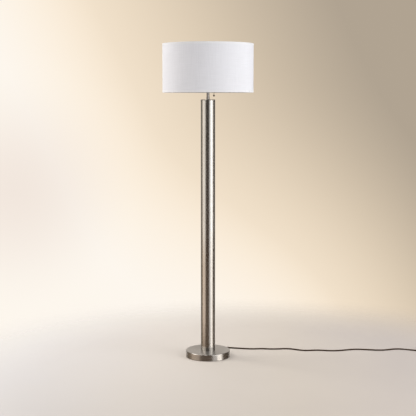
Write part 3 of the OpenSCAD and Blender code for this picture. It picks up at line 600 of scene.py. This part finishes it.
# Linen: its threads are counted round this radius, and its slubs are noise drawn out along the threads
SHADE_R = 0.228
DRUM_THREAD = 0.0007
HEM_THREAD = 0.0005
WEFT_SLUBS = (14, 14, 900)
WARP_SLUBS = (700, 700, 11)
SLUB_SPAN = (0.75, 1.25)
SLUB_HEIGHT = 1.2
WEAVE_HEIGHT = 0.5
CLOTH_RELIEF = 0.8
LINING_RELIEF = 0.1

# Braid: its strands and the length in which they go once round
STRANDS = 16
STRAND_LAY = 0.032
STRAND_CONTRAST = 0.5
BRAID_SPAN = (0.35, 1.1)


def moulded(name, tones, roughness, grain, height):
    """Moulded plastic, phenolic, fibre, lacquer or sand-cast iron: a fine even grain."""
    material, tree = new_material(name)
    here = position(tree)
    fine = noise(tree, here, scale=grain, detail=3.0)
    cloud = noise(tree, here, scale=grain * MOULDED_PATCHES)
    finish_material(tree, {
        "Base Color": blended(tree, mapped(tree, cloud, STRONG_SPAN), *tones),
        "Roughness": uneven_roughness(tree, fine, roughness, MOULDED_SPREAD),
        "Normal": bumped(tree, fine, distance=height, strength=0.6),
    })
    return material


def glass(name, tones, roughness, through):
    material, tree = new_material(name)
    ripple = noise(tree, position(tree), scale=60)
    finish_material(tree, {
        "Base Color": blended(tree, ripple, *tones),
        "Roughness": uneven_roughness(tree, ripple, roughness, GLASS_SPREAD),
        "Transmission Weight": through,
        "IOR": 1.5,
        "Normal": bumped(tree, ripple, distance=0.0002, strength=0.3),
    })
    return material


def felt():
    material, tree = new_material("felt")
    fuzz = noise(tree, position(tree), scale=900, detail=4.0)
    finish_material(tree, {
        "Base Color": blended(tree, fuzz, *FELT),
        "Roughness": 0.95,
        "Sheen Weight": 0.3,
        "Normal": bumped(tree, fuzz, distance=0.0003),
    })
    return material


def linen(name, tones, thread, lining, lining_r):
    """Plain woven linen: crossed threads, with slubs along some of them.
    Nearer the lamp's axis than lining_r it is a smooth lining, whose given tone carries painted shade."""
    material, tree = new_material(name)
    here = position(tree)
    place = parts_of(tree, here)
    radius = length_of(tree, flattened(tree, here))
    outside = number(tree, "GREATER_THAN", radius, lining_r)
    angle = number(tree, "ARCTAN2", place["Y"], place["X"])
    around = number(tree, "MULTIPLY", angle, SHADE_R)
    weft = number(tree, "SINE", number(tree, "MULTIPLY", place["Z"], 2 * math.pi / thread))
    warp = number(tree, "SINE", number(tree, "MULTIPLY", around, 2 * math.pi / thread))
    weave = number(tree, "MULTIPLY", weft, warp)
    weft_slubs = noise(tree, scaled(tree, here, WEFT_SLUBS))
    warp_slubs = noise(tree, scaled(tree, here, WARP_SLUBS))
    slubs = number(tree, "ADD", weft_slubs, warp_slubs)
    woven = number(tree, "MULTIPLY", weave, WEAVE_HEIGHT)
    height = number(tree, "MULTIPLY_ADD", slubs, SLUB_HEIGHT, woven)
    cloth = blended(tree, mapped(tree, slubs, SLUB_SPAN), *tones)
    relief = mapped(tree, outside, (0, 1), LINING_RELIEF, CLOTH_RELIEF)
    finish_material(tree, {
        "Base Color": blended(tree, outside, lining, cloth),
        "Roughness": 0.92,
        "Sheen Weight": 0.15,
        "Sheen Roughness": 0.5,
        "Specular IOR Level": 0.25,
        "Normal": bumped(tree, height, distance=0.00018, strength=relief),
    })
    return material


def braid():
    """A fine braided sleeve, from the cord's UVs: metres along, and share of the way round."""
    material, tree = new_material("braided_sleeve")
    uv = parts_of(tree, add(tree, "TexCoord", {}).outputs["UV"])
    turns = number(tree, "MULTIPLY", uv["X"], 2 * math.pi * STRANDS / STRAND_LAY)
    across = number(tree, "MULTIPLY", uv["Y"], 2 * math.pi * STRANDS)
    one = number(tree, "SINE", number(tree, "ADD", turns, across))
    other = number(tree, "SINE", number(tree, "SUBTRACT", turns, across))
    height = number(tree, "MAXIMUM", one, other)
    dirt = noise(tree, position(tree), scale=60, detail=3.0)
    tone = number(tree, "MULTIPLY_ADD", height, STRAND_CONTRAST, dirt)
    finish_material(tree, {
        "Base Color": blended(tree, mapped(tree, tone, BRAID_SPAN), *BRAID),
        "Roughness": 0.7,
        "Specular IOR Level": 0.2,
        "Normal": bumped(tree, height, distance=0.0004, strength=0.9),
    })
    return material


# Nodes that get the darker nickel, painted shade under the lamp shade
SHADED_NECK_NODES = ("neck_tube", "neck_collar", "column_cap")


def dress_nodes():
    """Gives every CAD node its material, and returns the materials by the slots of the CAD model."""
    nickel = brushed_metal("nickel_lengthwise", lengthwise, NICKEL, roughness=0.24, level_roughness=0.24,
                           directional=0.7, rotation=0.0, depth=BRUSH_DEPTH)
    nickel_turned = brushed_metal("nickel_turned", turned, NICKEL, roughness=0.27, level_roughness=0.38,
                                  directional=0.5, rotation=0.25, depth=BRUSH_DEPTH)
    shaded_nickel_neck = brushed_metal("shaded_nickel_neck", turned, NICKEL_NECK_SHADED, roughness=0.27, level_roughness=0.4,
                                directional=0.5, rotation=0.25, depth=NECK_BRUSH_DEPTH)
    finishes = {
        "nickel": nickel_turned,
        "nickel_wire": plain_metal("nickel_wire", NICKEL_WIRE, roughness=0.24, grain=1600),
        "zinc": plain_metal("zinc", ZINC, roughness=0.42, grain=1200),
        "cast_iron": moulded("cast_iron", CAST_IRON, roughness=0.6, grain=600, height=0.0004),
        "felt": felt(),
        "black_plastic": moulded("black_plastic", BLACK_PLASTIC, roughness=0.45, grain=1500, height=0.00005),
        "plug_plastic": moulded("plug_plastic", PLUG_PLASTIC, roughness=0.42, grain=1500, height=0.00005),
        "phenolic": moulded("phenolic", PHENOLIC, roughness=0.25, grain=900, height=0.00003),
        "fibre": moulded("fibre", FIBRE, roughness=0.8, grain=700, height=0.0001),
        "brass": plain_metal("brass", BRASS, roughness=0.28, grain=1500),
        "bead_chain": plain_metal("bead_chain", BEAD_CHAIN, roughness=0.3, grain=1600),
        "bronze": moulded("bronze", BRONZE, roughness=0.35, grain=500, height=0.00003),
        "bulb_insulator": moulded("bulb_insulator", BLACK_GLASS, roughness=0.12, grain=300, height=0.00003),
        "bulb_cap": plain_metal("bulb_cap", BULB_CAP, roughness=0.25, grain=1500),
        "frosted_glass": glass("frosted_glass", FROSTED_GLASS, roughness=0.4, through=0.25),
        "clear_glass": glass("clear_glass", CLEAR_GLASS, roughness=0.02, through=0.9),
        "linen": linen("linen", LINEN, DRUM_THREAD, lining=DRUM_LINING_AND_SHADE, lining_r=DRUM_LINING_R),
        "linen_trim": linen("linen_trim", LINEN_TRIM, HEM_THREAD, lining=HEM_LINING_SHADE, lining_r=HEM_LINING_R),
        "cord": braid(),
    }
    for name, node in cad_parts.items():
        slot = node.material_slots[0]
        if name == "column_tube":
            slot.material = nickel
        elif name in SHADED_NECK_NODES:
            slot.material = shaded_nickel_neck
        else:
            slot.material = finishes[slot.material.name]
    return finishes


# ---- Floor ----

FLOOR_R = 2.6
FLOOR_SIDES = 96
FLOOR_Z = -0.0003
FLOOR_MIDDLE = Vector((0.25, -0.45, 0))
# The floor is whole up to the first distance from its middle, and gone at the second
FLOOR_FADE = (1.0, 2.0)
# Its tones from left to right, with a little unevenness, and how much darker it is towards the camera:
# painted light and shade, paler on the left and darker to the right and near the camera
FLOOR_PLACES = [0, 0.35, 0.7, 1]
FLOOR_PAINTED_LIGHT_TONES = [
    rgb(0.68, 0.655, 0.64),
    rgb(0.695, 0.64, 0.58),
    rgb(0.64, 0.575, 0.50),
    rgb(0.56, 0.505, 0.463),
]
FLOOR_X = (-1.0, 1.0)
FLOOR_UNEVEN = 0.12
FLOOR_Y = (0.6, -0.9)
FLOOR_NEAR_SHADE = 0.87
# How much of the floor shows in the metal
FLOOR_IN_METAL = 0.08


def build_floor():
    """A round floor whose rim melts into the background."""
    rim = [(*point, 0) for point in arc((0, 0), FLOOR_R, 0, 360, FLOOR_SIDES)[:-1]]
    mesh = bpy.data.meshes.new("floor")
    mesh.from_pydata(rim, [], [tuple(range(FLOOR_SIDES))])
    floor = bpy.data.objects.new("floor", mesh)
    floor.location.z = FLOOR_Z
    bpy.context.scene.collection.objects.link(floor)
    material, tree = new_material("floor")
    here = position(tree)
    place = parts_of(tree, here)
    grain = noise(tree, here, scale=3, detail=3.0)
    rightward = mapped(tree, place["X"], FLOOR_X, -FLOOR_UNEVEN / 2, 1 - FLOOR_UNEVEN / 2)
    across = number(tree, "MULTIPLY_ADD", grain, FLOOR_UNEVEN, rightward)
    # Painted light and shade: paler on the left, darker to the right and towards the camera
    tones = colour_ramp(tree, across, FLOOR_PLACES, FLOOR_PAINTED_LIGHT_TONES)
    near_shade = mapped(tree, place["Y"], FLOOR_Y, 1, FLOOR_NEAR_SHADE)
    paint = add(tree, "BsdfPrincipled", {
        "Base Color": scaled(tree, tones, near_shade),
        "Roughness": 0.9,
        "Specular IOR Level": 0.1,
    })
    clear = add(tree, "BsdfTransparent", {})
    fade = mapped(tree, distance_between(tree, here, FLOOR_MIDDLE), FLOOR_FADE, kind="SMOOTHSTEP")
    glossy = add(tree, "LightPath", {}).outputs["Is Glossy Ray"]
    thin = number(tree, "MULTIPLY", glossy, 1 - FLOOR_IN_METAL)
    share = number(tree, "MAXIMUM", fade, thin)
    mixed = add(tree, "MixShader", {0: share, 1: paint.outputs[0], 2: clear.outputs[0]})
    add(tree, "OutputMaterial", {"Surface": mixed.outputs[0]})
    mesh.materials.append(material)


# ---- World: tones by the direction of a ray, X to the right, Y away from the camera, Z up ----

# Backdrop: a slope of tones from dark at the upper right to pale at the lower left
BACKDROP_TONES = [
    rgb(0.325, 0.276, 0.22),
    rgb(0.99, 0.82, 0.61),
    rgb(0.985, 0.95, 0.90),
]
BACKDROP_PLACES = [0, 0.67, 1]
SLOPE_X = -2.82
SLOPE_Z = -1.365
SLOPE_SPAN = (-0.481, 0.519)
# A glow low on the right, and a faint dark haze on the left
GLOW_X = 0.114
GLOW_Z = -0.238
GLOW_R = 0.271
GLOW_GAIN = 0.30
HAZE_X = -0.19
HAZE_Z = -0.09
HAZE_R = 0.125
HAZE_TINT = rgb(0.90, 0.86, 0.855)
# Far to either side it turns into one tone
ASIDE_SPAN = (0.25, 0.6)
ASIDE_TONE = rgb(0.85, 0.80, 0.73)

# Room that the metal mirrors: bright behind the lamp, middling at the sides, dark behind the camera
BEHIND_SPAN = (0.63, 0.95)
BEHIND_TONE = rgb(0.74, 0.68, 0.62)
LEFT_TONE = rgb(0.30, 0.25, 0.19)
RIGHT_TONE = rgb(0.10, 0.075, 0.05)
LEFT_TO_RIGHT = (-0.8, 0.8)
SIDES_DIM_SPAN = (0.1, 0.6)
SIDES_DIM = 0.45
FRONT_SPAN = (-0.85, -0.2)
FRONT_TONE = rgb(0.018, 0.012, 0.008)
FRONT_LOW_TONE = rgb(0.11, 0.072, 0.042)
LOW_SPAN = (-0.05, -0.25)
LOW_TINT = rgb(1, 0.84, 0.70)
STEEP_SPAN = (-0.35, -0.7)
STEEP_TONE = rgb(0.52, 0.475, 0.42)

# Soft light of the room on everything else, from below to above
AMBIENT_SPAN = (-0.2, 0.9)
AMBIENT_LOW = rgb(0.12, 0.12, 0.13)
AMBIENT_HIGH = rgb(0.55, 0.55, 0.57)


def spot(tree, direction, x, z, radius, gain=1):
    """The gain in the direction with this X and Z, falling to 0 at the radius."""
    middle = add(tree, "CombineXYZ", {"X": x, "Y": parts_of(tree, direction)["Y"], "Z": z}).outputs[0]
    away = distance_between(tree, direction, middle)
    return mapped(tree, away, (radius, 0), 0, gain, kind="SMOOTHSTEP")


def backdrop(tree, direction):
    """What shows behind the lamp, to the camera and through glass."""
    way = parts_of(tree, direction)
    glow = spot(tree, direction, GLOW_X, GLOW_Z, GLOW_R, GLOW_GAIN)
    upright = number(tree, "MULTIPLY_ADD", way["Z"], SLOPE_Z, glow)
    slope = number(tree, "MULTIPLY_ADD", way["X"], SLOPE_X, upright)
    level = mapped(tree, slope, SLOPE_SPAN)
    shades = colour_ramp(tree, level, BACKDROP_PLACES, BACKDROP_TONES, "B_SPLINE")
    haze = spot(tree, direction, HAZE_X, HAZE_Z, HAZE_R)
    shades = scaled(tree, shades, blended(tree, haze, WHITE, HAZE_TINT))
    aside = mapped(tree, number(tree, "ABSOLUTE", way["X"]), ASIDE_SPAN)
    return blended(tree, aside, shades, ASIDE_TONE)


def mirrored_room(tree, direction):
    """What shows in the metal."""
    way = parts_of(tree, direction)
    low = mapped(tree, way["Z"], LOW_SPAN)
    front = blended(tree, low, FRONT_TONE, FRONT_LOW_TONE)
    sides = blended(tree, mapped(tree, way["X"], LEFT_TO_RIGHT), LEFT_TONE, RIGHT_TONE)
    sides = scaled(tree, sides, mapped(tree, way["Y"], SIDES_DIM_SPAN, 1, SIDES_DIM))
    around = blended(tree, mapped(tree, way["Y"], FRONT_SPAN), front, sides)
    around = scaled(tree, around, blended(tree, low, WHITE, LOW_TINT))
    around = blended(tree, mapped(tree, way["Z"], STEEP_SPAN), around, STEEP_TONE)
    return blended(tree, mapped(tree, way["Y"], BEHIND_SPAN), around, BEHIND_TONE)


def build_world():
    """A backdrop for the camera and glass, a room for the metal, and a soft light for the rest."""
    world = bpy.data.worlds.new("studio")
    bpy.context.scene.world = world
    world.use_nodes = True
    tree = world.node_tree
    tree.nodes.clear()
    direction = add(tree, "TexCoord", {}).outputs["Generated"]
    upward = mapped(tree, parts_of(tree, direction)["Z"], AMBIENT_SPAN)
    ambient = blended(tree, upward, AMBIENT_LOW, AMBIENT_HIGH)
    path = add(tree, "LightPath", {}).outputs
    straight = number(tree, "MAXIMUM", path["Is Camera Ray"], path["Is Transmission Ray"])
    bounced = blended(tree, path["Is Glossy Ray"], ambient, mirrored_room(tree, direction))
    colour = blended(tree, straight, bounced, backdrop(tree, direction))
    background = add(tree, "Background", {"Color": colour, "Strength": 1.0})
    add(tree, "OutputWorld", {"Surface": background.outputs[0]})


# ---- Lamps of the studio ----

# Name, azimuth from the camera's side in degrees, distance, height, height aimed at,
# width and length, radiance, colour
SOFTBOXES = [
    ("key", 64, 2.4, 1.65, 1.65, (1.5, 2.7), 2.4, (1.0, 1.0, 1.0)),
    ("key_low", 63, 2.4, -0.3, -0.3, (1.2, 1.2), 2.2, (1.0, 0.96, 0.91)),
    ("key_edge", 37, 2.4, 1.2, 1.2, (1.2, 3.6), 1.2, (1.0, 1.0, 1.0)),
    ("fill", -67, 2.4, 1.5, 1.5, (2.4, 2.6), 1.3, (1.0, 0.955, 0.90)),
    ("fill_low", -67, 2.4, -0.15, -0.15, (2.4, 0.7), 0.95, (1.0, 0.84, 0.72)),
    ("top", -150, 0.8, 4.2, 0, (1.2, 1.2), 7.0, (1.0, 0.985, 0.97)),
    ("rim", 105, 2.6, 3.2, 1.0, (1.6, 1.6), 1.0, (0.97, 0.98, 1.0)),
    ("back", -107, 2.6, 3.2, 1.0, (1.6, 1.6), 6.9, (1.0, 0.975, 0.95)),
]


def softbox(name, azimuth, distance, height, aim_height, size, radiance, colour):
    """A rectangular lamp, turned to a point of the floor lamp's axis."""
    light = bpy.data.lights.new(name, "AREA")
    light.shape = "RECTANGLE"
    light.size, light.size_y = size
    light.energy = radiance * math.pi * size[0] * size[1]
    light.color = colour
    lamp = bpy.data.objects.new(name, light)
    a = math.radians(azimuth)
    lamp.location = (distance * math.sin(a), -distance * math.cos(a), height)
    way = Vector((0, 0, aim_height)) - lamp.location
    lamp.rotation_euler = way.to_track_quat("-Z", "Y").to_euler()
    bpy.context.scene.collection.objects.link(lamp)


def build_studio():
    bpy.context.scene.view_settings.view_transform = "Standard"
    build_floor()
    build_world()
    for values in SOFTBOXES:
        softbox(*values)


place_camera()
finishes = dress_nodes()
supply_cord = build_cord()
supply_cord.data.materials.append(finishes["cord"])
build_harp().data.materials.append(finishes["nickel_wire"])
build_bulb().data.materials.append(finishes["frosted_glass"])
build_studio()
